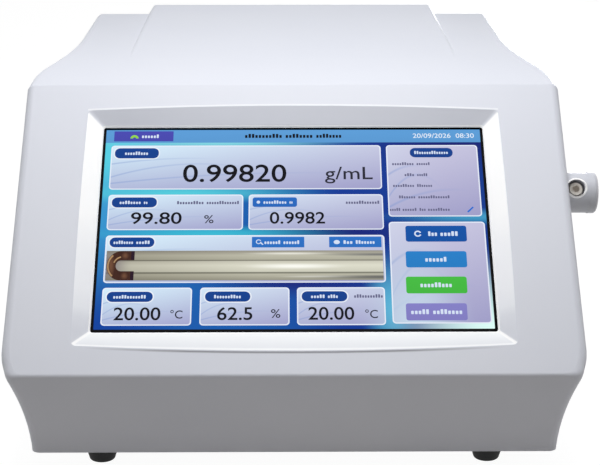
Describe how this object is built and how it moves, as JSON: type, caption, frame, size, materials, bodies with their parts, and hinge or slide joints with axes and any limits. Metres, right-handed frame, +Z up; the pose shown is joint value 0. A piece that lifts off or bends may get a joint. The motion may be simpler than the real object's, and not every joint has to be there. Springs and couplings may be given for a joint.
{
  "type": "benchtop density meter",
  "caption": "Wedge-shaped bench instrument with a tilted touch screen and a side sample port that measures the density of liquids with an oscillating glass tube.",
  "frame": {"origin": "under the middle of the whole instrument, on the bench top", "axes": "+X to the user's right, +Y from the nose edge to the rear panel, +Z up"},
  "size_m": [0.3432, 0.4338, 0.1988],
  "materials": {
    "upper_housing": "satin",
    "base_plate": "satin powder coat",
    "underside_screws": "plain",
    "rubber_feet": "matt",
    "rear_panel": "satin powder coat",
    "rear_screws": "plain",
    "display_gasket": "matt",
    "touch_glass": "gloss, black printed border",
    "display_module": "satin",
    "display_bracket": "plain",
    "inner_screws": "plain",
    "port_housing": "satin",
    "port_cap": "satin",
    "port_seal": "matt",
    "port_nut": "plain",
    "inlet_adapter": "satin, slightly translucent",
    "inlet_tube": "satin, clear grey",
    "waste_tube": "satin, clear grey",
    "cell_shelf": "plain",
    "cell_block": "plain",
    "cell_window": "polished",
    "cell_jacket": "foam, matt",
    "oscillator_tube": "polished",
    "tube_clamp": "satin",
    "cell_drive": "copper coloured",
    "temperature_probe": "plain",
    "cell_light": "satin",
    "peltier_modules": "satin",
    "heat_sink": "plain",
    "camera_arm": "plain",
    "camera_board": "satin",
    "camera_lens": "polished",
    "fan_frame": "satin",
    "fan_rotor": "satin",
    "fan_guard": "plain",
    "pump_case": "satin",
    "pump_motor": "plain",
    "pump_crank": "plain",
    "pump_diaphragm": "foam, matt",
    "pump_cover": "satin",
    "pump_bracket": "plain",
    "dryer_tube": "clear with orange grains",
    "dryer_caps": "satin",
    "dryer_clips": "satin",
    "air_hoses": "satin, clear grey",
    "main_board": "satin",
    "power_board": "satin",
    "standoffs": "plain",
    "network_port": "plated",
    "usb_ports": "plated",
    "serial_port": "plated",
    "mains_inlet": "satin",
    "mains_pins": "plated",
    "fuse_drawer": "satin",
    "fuses": "clear with metal ends",
    "power_switch": "satin",
    "rocker": "satin",
    "hose_outlets": "plain",
    "wiring": "satin"
  },
  "bodies": {
    "instrument": {"upper_housing": "upper_housing", "base_plate": "base_plate", "underside_screws": "underside_screws", "rubber_feet": "rubber_feet", "rear_panel": "rear_panel", "rear_screws": "rear_screws", "display_gasket": "display_gasket", "touch_glass": "touch_glass", "display_module": "display_module", "display_bracket": "display_bracket", "inner_screws": "inner_screws", "port_housing": "port_housing", "port_cap": "port_cap", "port_seal": "port_seal", "port_nut": "port_nut", "inlet_tube": "inlet_tube", "waste_tube": "waste_tube", "cell_shelf": "cell_shelf", "cell_block": "cell_block", "cell_window": "cell_window", "cell_jacket": "cell_jacket", "oscillator_tube": "oscillator_tube", "tube_clamp": "tube_clamp", "cell_drive": "cell_drive", "temperature_probe": "temperature_probe", "cell_light": "cell_light", "peltier_modules": "peltier_modules", "heat_sink": "heat_sink", "camera_arm": "camera_arm", "camera_board": "camera_board", "camera_lens": "camera_lens", "fan_frame": "fan_frame", "fan_guard": "fan_guard", "pump_case": "pump_case", "pump_motor": "pump_motor", "pump_diaphragm": "pump_diaphragm", "pump_cover": "pump_cover", "pump_bracket": "pump_bracket", "dryer_tube": "dryer_tube", "dryer_caps": "dryer_caps", "dryer_clips": "dryer_clips", "air_hoses": "air_hoses", "main_board": "main_board", "power_board": "power_board", "standoffs": "standoffs", "network_port": "network_port", "usb_ports": "usb_ports", "serial_port": "serial_port", "mains_inlet": "mains_inlet", "mains_pins": "mains_pins", "power_switch": "power_switch", "hose_outlets": "hose_outlets", "wiring": "wiring"},
    "fan_rotor": {"fan_rotor": "fan_rotor"},
    "pump_crank": {"pump_crank": "pump_crank"},
    "rocker": {"rocker": "rocker"},
    "fuse_drawer": {"fuse_drawer": "fuse_drawer", "fuses": "fuses"},
    "inlet_adapter": {"inlet_adapter": "inlet_adapter"}
  },
  "joints": [
    {"name": "fan_spin", "type": "hinge", "parent": "instrument", "child": "fan_rotor", "pos_m": [-0.01005, 0.189, 0.112], "axis": [0, 1, 0], "continuous": true},
    {"name": "pump_spin", "type": "hinge", "parent": "instrument", "child": "pump_crank", "pos_m": [-0.11305, -0.121, 0.03], "axis": [1, 0, 0], "continuous": true},
    {"name": "power_rocker", "type": "hinge", "parent": "instrument", "child": "rocker", "pos_m": [0.04395, 0.1994, 0.052], "axis": [1, 0, 0], "range_deg": [0, 14]},
    {"name": "fuse_drawer_slide", "type": "slide", "parent": "instrument", "child": "fuse_drawer", "axis": [0, 1, 0], "range_m": [0, 0.018]},
    {"name": "inlet_adapter_pull", "type": "slide", "parent": "instrument", "child": "inlet_adapter", "axis": [0, -0.866, 0.5], "range_m": [0, 0.014]}
  ]
}
